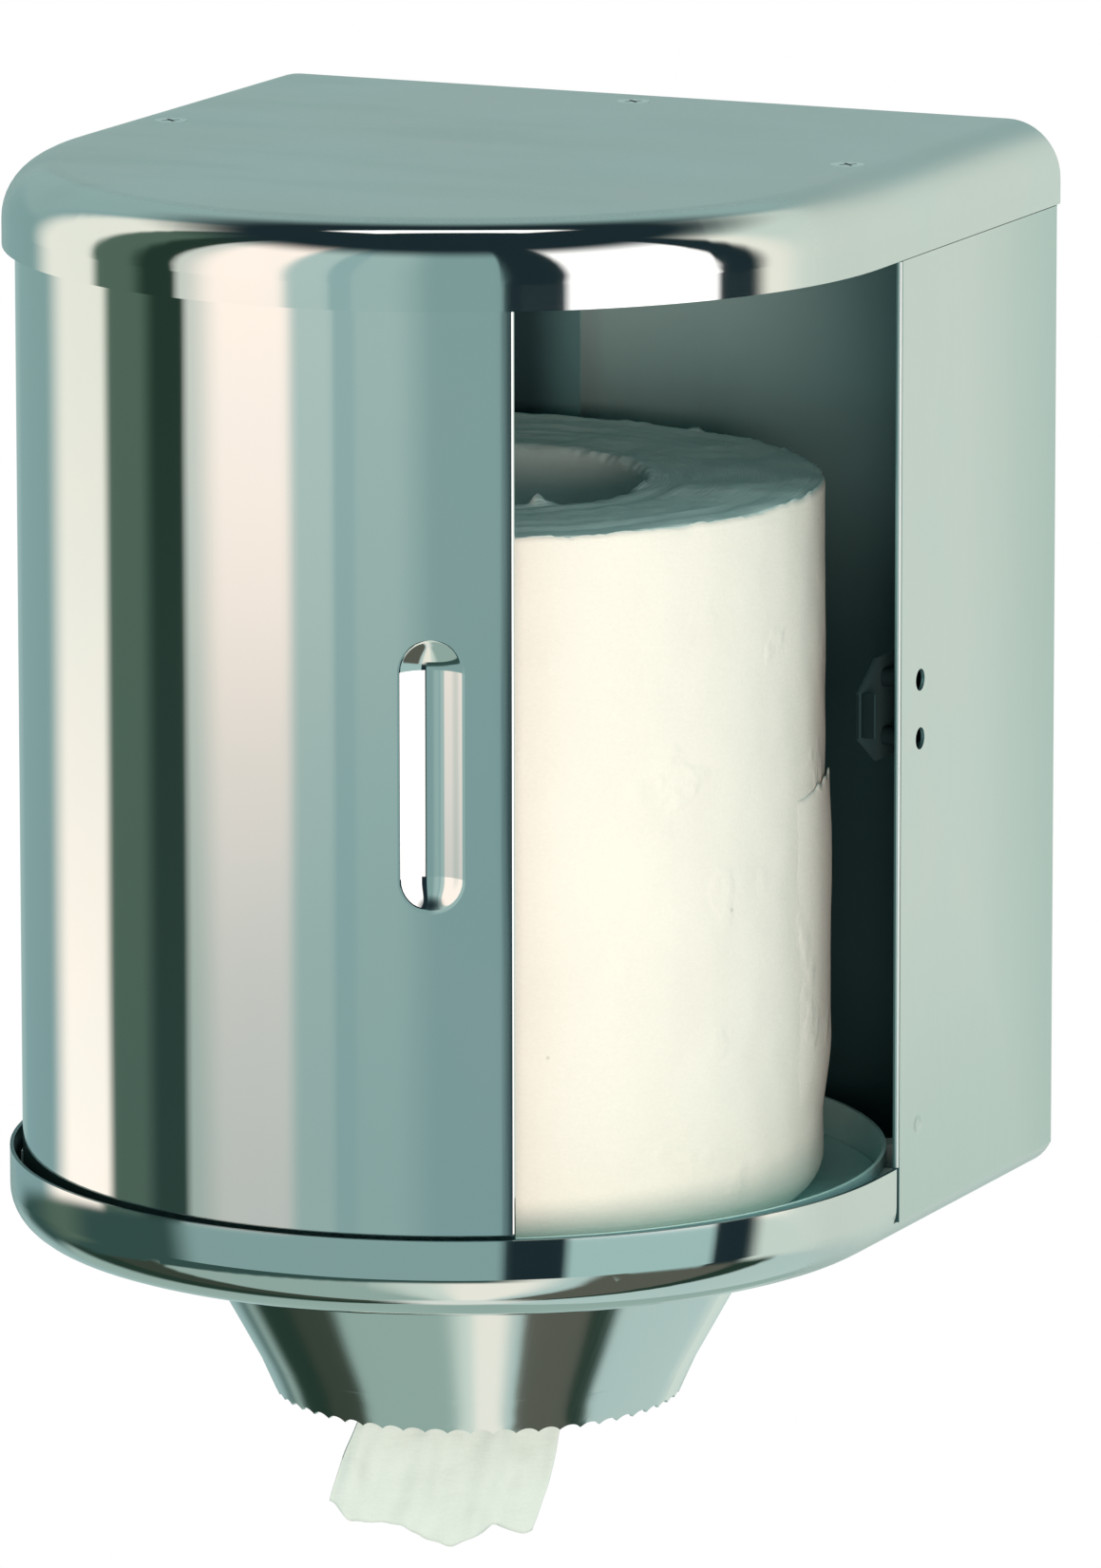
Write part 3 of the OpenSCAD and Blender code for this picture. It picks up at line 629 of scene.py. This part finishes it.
# Depth of its creases and of its crushing, each in the neck and by how much less at the foot
CREASE, CREASE_LESS = 0.0016, 0.0009
CRUSH, CRUSH_LESS = 0.0011, 0.0003
CRUSH_ACROSS = ((1.0, 60.0, 11.0), (0.5, 150.0, 4.0))
CRUSH_DEEP = ((1.6, 70.0, 17.0), (0.8, 170.0, 9.0))


def folded(turns, v):
    """(across, depth, layer) on a path through its turns, with v from 0 to 1."""
    lengths = [abs(b[0] - a[0]) for a, b in zip(FOOT_TURNS, FOOT_TURNS[1:])]
    along = v * sum(lengths)
    layer = 0
    while layer < len(lengths) - 1 and along > lengths[layer]:
        along -= lengths[layer]
        layer += 1
    t = along / lengths[layer]
    a, b = turns[layer], turns[layer + 1]
    return a[0] + (b[0] - a[0]) * smooth(t), a[1] + (b[1] - a[1]) * t, layer + t


def foot_level(across, layer):
    """Height of the towel's torn edge: a raised left corner, a low lobe, a notch and a right lobe."""
    humps = sum(height * hump((across - at) / width) for height, at, width in FOOT_HUMPS)
    return FOOT_Z + humps + LAYER_RISE * layer + waves(FOOT_TORN, across, layer * 0.01, 0.0)


def tail_point(v, t):
    """v runs across the towel from 0 to 1, t down it from 0, on the roll's inner wall, to 1."""
    into, down = smooth(t / TAIL_NECK), max(0.0, (t - TAIL_NECK) / (1.0 - TAIL_NECK))
    neck_x, neck_y, layer = folded(NECK_TURNS, v)
    foot_x, foot_y, layer = folded(FOOT_TURNS, v)
    z = NECK_Z + (foot_level(foot_x, layer) - NECK_Z) * down
    out = smooth((NECK_Z - z) / OPEN_DROP)
    x = neck_x + (foot_x - neck_x) * out
    y = neck_y + (foot_y - neck_y) * out
    crease = math.sin(330.0 * x + 1.9 * layer) + 0.6 * math.sin(710.0 * x - 2.3 * layer + 40.0 * z)
    y += (CREASE - CREASE_LESS * out) * crease
    x -= LEAN * max(0.0, LEAN_Z - z)
    crush = CRUSH - CRUSH_LESS * out
    x += crush * waves(CRUSH_ACROSS, x, y, z)
    y += crush * waves(CRUSH_DEEP, x, y, z)
    cos, sin = math.cos(TAIL_TURN), math.sin(TAIL_TURN)
    hang = Vector((x * cos - y * sin, FUNNEL_Y + x * sin + y * cos, z))
    wall_z = WALL_LOW + WALL_SPAN * v
    wall = at_round(WALL_ANGLE + WALL_ARC * (v - 0.5), HOLE_R - WALL_GAP, wall_z)
    p = wall.lerp(hang, into)
    if t < TAIL_NECK:
        p.z = wall_z + (NECK_Z - wall_z) * t / TAIL_NECK
    return p


def make_tail(material):
    points = [tail_point(c / TAIL_COLUMNS, r / TAIL_ROWS)
              for r in range(TAIL_ROWS + 1) for c in range(TAIL_COLUMNS + 1)]
    piece = mesh_piece("towel_tail", points, grid_faces(TAIL_COLUMNS + 1, TAIL_ROWS + 1), material)
    thick = piece.modifiers.new("ply", "SOLIDIFY")
    thick.thickness = TAIL_T
    thick.offset = 0.0
    return piece


# Studio

WHITE = (1.0, 1.0, 1.0)
SHADE = (0.40, 0.60, 0.59)


def shown(*colour, gain=1.0):
    """Light of the studio that shows on the steel as this colour of 0 to 255."""
    return tuple(gain * (c / 255.0) ** 2.2 / s for c, s in zip(colour, STEEL))


def even(*colour):
    """A screen that shows alike high and low."""
    return shown(*colour), shown(*colour)


# The studio's screens, each as it shows high on the door and at its foot
TEAL = shown(123, 155, 153), shown(119, 151, 151)
MIST = shown(167, 191, 186), shown(140, 167, 163)
SEA = shown(138, 170, 169), shown(126, 158, 157)
HAZE = shown(150, 178, 174), shown(132, 162, 159)
OLIVE = shown(78, 100, 87), shown(74, 96, 86)
INK = shown(39, 57, 49), shown(46, 65, 60)
COAL = shown(32, 46, 50), shown(28, 44, 50)
CREAM = shown(224, 228, 215), shown(253, 247, 235)
ASH = shown(196, 204, 195), shown(150, 169, 161)
BLUSH = shown(255, 244, 232), shown(178, 185, 180)
SOFTBOX = shown(255, 255, 252, gain=1.3), shown(255, 255, 252)
PALE = shown(191, 208, 198), shown(186, 203, 193)
RIMLIT = even(152, 184, 180)
DOVE = even(135, 164, 161)
SAGE = even(138, 164, 156)
BROWN = even(84, 88, 79)
PINE = even(52, 76, 72)
UMBER = even(56, 66, 57)
BRIGHT = even(226, 228, 216)
FLOOR = shown(205, 215, 208)

# What the metal mirrors at eye level, by direction in degrees from the front towards +X
LEVEL = [(-180, PALE), (-142, DOVE), (-134, TEAL), (-112, TEAL), (-98, CREAM), (-82, CREAM),
         (-77, OLIVE), (-67, OLIVE), (-60, INK), (-52, INK), (-49.5, ASH), (-38, BLUSH), (-22, BLUSH),
         (-17, MIST), (-9, MIST), (-7, SEA), (-3, SEA), (-1, HAZE), (7, HAZE), (20, TEAL), (35, TEAL),
         (37, COAL), (51, COAL), (53, SOFTBOX), (92, SOFTBOX), (94, COAL), (103, COAL), (110, CREAM),
         (126, PALE), (180, PALE)]
# A little lower, where the pan's rim looks
UNDER = [(-180, PALE), (-140, DOVE), (-122, PINE), (-100, OLIVE), (-84, PINE), (-58, PINE), (-46, TEAL),
         (34, TEAL), (37, COAL), (51, COAL), (53, RIMLIT), (92, RIMLIT), (94, COAL), (103, COAL),
         (110, PALE), (180, PALE)]
# Lower still, where the funnel looks
LOW = [(-180, SAGE), (-124, SAGE), (-112, INK), (-100, INK), (-92, UMBER), (-76, UMBER), (-68, SAGE),
       (-8, SAGE), (14, PALE), (26, BRIGHT), (42, BRIGHT), (58, MIST), (66, BROWN), (102, BROWN),
       (107, INK), (116, INK), (122, MIST), (180, MIST)]

# Heights in degrees over which one part of the studio fades into the next
FOOT_FADE = (-13.2, -8.8)
UNDER_FADE = (-13.9, -15.6)
LOW_FADE = (-27.0, -33.0)
FLOOR_FADE = (-78.0, -86.0)
BACK_FADE = (6.0, 14.0)
TOP_FADE = (40.0, 62.0)
# Single screens, each from one place to another with a soft edge: heights, then directions
WINDOW_UP, WINDOW_ROUND = (-11.7, -10.6, 0.6), (42.0, 112.0, 4.0)
EDGE_UP, EDGE_ROUND = (-34.0, -28.0, 4.0), (-95.0, 30.0, 20.0)
STRIP_UP = (71.0, 76.0, 2.0)
FRONT_ROUND = (-105.0, 165.0, 12.0)


def studio_ramp(graph, turn, stops, foot=False):
    which = 1 if foot else 0
    return graph.ramp(turn, [((angle + 180.0) / 360.0, screen[which]) for angle, screen in stops])


def make_world():
    """White to the camera, a studio with bright and dark screens to metal, even light to the rest."""
    world = bpy.data.worlds.new("studio")
    bpy.context.scene.world = world
    world.use_nodes = True
    world.node_tree.nodes.clear()
    world.cycles.sampling_method = "NONE"
    graph = Graph(world.node_tree)
    x, y, z = graph.split(graph.add("ShaderNodeTexCoord").outputs["Generated"])
    angle = graph.calc("DEGREES", graph.calc("ARCTAN2", x, graph.times(y, -1.0)))
    turn = graph.span(angle, -180.0, 180.0, 0.0, 1.0)
    height = graph.calc("DEGREES", graph.calc("ARCSINE", z))
    foot = studio_ramp(graph, turn, LEVEL, foot=True)
    screens = graph.mix(graph.step(height, *FOOT_FADE), foot, studio_ramp(graph, turn, LEVEL))
    window = graph.times(graph.within(height, *WINDOW_UP), graph.within(angle, *WINDOW_ROUND))
    screens = graph.mix(window, screens, SOFTBOX[0])
    screens = graph.mix(graph.step(height, *UNDER_FADE), screens, studio_ramp(graph, turn, UNDER))
    screens = graph.mix(graph.step(height, *LOW_FADE), screens, studio_ramp(graph, turn, LOW))
    edge = graph.times(graph.within(height, *EDGE_UP), graph.within(angle, *EDGE_ROUND))
    screens = graph.mix(edge, screens, PINE[0])
    behind = graph.minus(1.0, graph.within(angle, *FRONT_ROUND))
    screens = graph.mix(graph.times(graph.step(height, *BACK_FADE), behind), screens, DOVE[0])
    screens = graph.mix(graph.step(height, *TOP_FADE), screens, COAL[0])
    screens = graph.mix(graph.times(graph.within(height, *STRIP_UP), behind), screens, SOFTBOX[0])
    screens = graph.mix(graph.step(height, *FLOOR_FADE), screens, FLOOR)
    path = graph.add("ShaderNodeLightPath").outputs
    mirror = graph.calc("MAXIMUM", path["Is Glossy Ray"], path["Is Transmission Ray"])
    seen = graph.mix(mirror, SHADE, screens)
    seen = graph.mix(path["Is Camera Ray"], seen, WHITE)
    background = graph.add("ShaderNodeBackground", {"Color": seen, "Strength": 1.0})
    graph.add("ShaderNodeOutputWorld", {"Surface": background.outputs[0]})


KEY_ANGLE, KEY_HEIGHT = math.radians(31.0), math.radians(-3.0)
KEY_DISTANCE, KEY_SIZE, KEY_POWER = 2.4, 1.1, 48.0
KEY_COLOUR = (1.0, 0.83, 0.745)


def make_key():
    """A large soft lamp aimed at the object. The metal mirrors the studio and not the lamp."""
    data = bpy.data.lights.new("key", "AREA")
    data.shape = "DISK"
    data.size = KEY_SIZE
    data.energy = KEY_POWER
    data.color = KEY_COLOUR
    lamp = bpy.data.objects.new("key", data)
    bpy.context.scene.collection.objects.link(lamp)
    level = math.cos(KEY_HEIGHT)
    away = Vector((math.sin(KEY_ANGLE) * level, -math.cos(KEY_ANGLE) * level, math.sin(KEY_HEIGHT)))
    lamp.location = MIDDLE + away * KEY_DISTANCE
    lamp.rotation_mode = "QUATERNION"
    lamp.rotation_quaternion = (-away).to_track_quat("-Z", "Y")
    lamp.visible_glossy = False
    lamp.visible_camera = False


FLOOR_Z, FLOOR_R, FLOOR_POINTS = -1.2, 1.1, 96
FLOOR_BASE = (0.95, 0.68, 0.69, 1.0)
FLOOR_GLOW = (0.45, 0.45, 0.44, 1.0)


def make_floor():
    """A pale round floor, as far below as a wall dispenser hangs. Only the camera sees its glow."""
    ring = []
    for k in range(FLOOR_POINTS):
        a = 2 * math.pi * k / FLOOR_POINTS
        ring.append((FLOOR_R * math.cos(a), FLOOR_R * math.sin(a) + AXIS_Y, FLOOR_Z))
    material, graph, shader = new_material("floor")
    shader.inputs["Base Color"].default_value = FLOOR_BASE
    shader.inputs["Roughness"].default_value = 0.9
    shader.inputs["Emission Color"].default_value = FLOOR_GLOW
    link(graph, graph.add("ShaderNodeLightPath").outputs["Is Camera Ray"], shader, "Emission Strength")
    floor = mesh_piece("floor", ring, [tuple(range(FLOOR_POINTS))], material)
    floor.visible_glossy = False


# Putting it together

# The tracks and plate: steel whose bright teal colour is painted light, standing in for light reflected
# inside the rim
TRACK_STEEL_PAINTED_LIGHT = (0.62, 0.92, 0.90)
SCREW_STEEL = (0.70, 0.75, 0.73)
# The lock bracket and studs: blackened spring steel, partly its own near-black finish and partly tinted to
# the teal of the painted shade around it
SPRING_STEEL = (0.010, 0.020, 0.021)
# The lock tongue: a dark blued finish matched to the painted shade of the case around it, its front faces
# painted darker still as shade
BLUED_STEEL, BLUED_FRONT_PAINTED_SHADE = (0.033, 0.059, 0.062), (0.0065, 0.0130, 0.0140)
NYLON = (0.75, 0.76, 0.73)


def dress(node, material):
    """Gives a CAD node its material; its shape stays."""
    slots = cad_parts[node].data.materials
    slots.clear()
    slots.append(material)


def dress_all():
    # The door's inside takes painted shade
    dress("door_panel", steel("door_steel", wave=0.00018, painted_inside=door_painted_shade, turned=soft_recess))
    dress("funnel", steel("funnel_steel", gloss=0.10, marks=funnel_waist))
    dress("top_cap", steel("cap_steel", pressed_polish, darkened=cap_dark_streaks))
    dress("bottom_pan", steel("pan_steel", pressed_polish, marks=rim_swell))
    # The panels take painted shade towards the wall and the foot
    dress("body_shell", steel("satin_steel", all_satin, marks=weld_dents, darkened=shell_painted_shade))
    dress("lock_tongue", plain("blued_steel", BLUED_STEEL, 0.6, 0.0, sheen=0.05, front=BLUED_FRONT_PAINTED_SHADE))
    track = plain("track_steel", TRACK_STEEL_PAINTED_LIGHT, 0.40, 0.25)
    for node in ("cap_brackets", "upper_track", "lower_track", "roll_plate"):
        dress(node, track)
    screws = plain("screw_steel", SCREW_STEEL, 0.16, 1.0)
    for node in ("cap_screws", "cap_nuts", "funnel_rivets"):
        dress(node, screws)
    spring = plain("dark_spring_steel", SPRING_STEEL, 0.6, 0.0, sheen=0.05)
    for node in ("lock_bracket", "lock_studs"):
        dress(node, spring)
    nylon = plain("nylon", NYLON, 0.42, 0.0, spread=0.03)
    for node in ("upper_glides", "lower_glides", "door_stops"):
        dress(node, nylon)


def main():
    scene = bpy.context.scene
    scene.view_settings.view_transform = "Standard"
    make_camera()
    make_world()
    make_key()
    make_floor()
    dress_all()

    roll = make_roll(paper("wound_paper", PAPER, True))
    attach(roll, "casing")
    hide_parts("paper_roll")
    tail = make_tail(paper("loose_paper", PAPER_LOOSE_SHADED, False))
    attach(tail, "casing")
    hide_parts("paper_tail")


main()
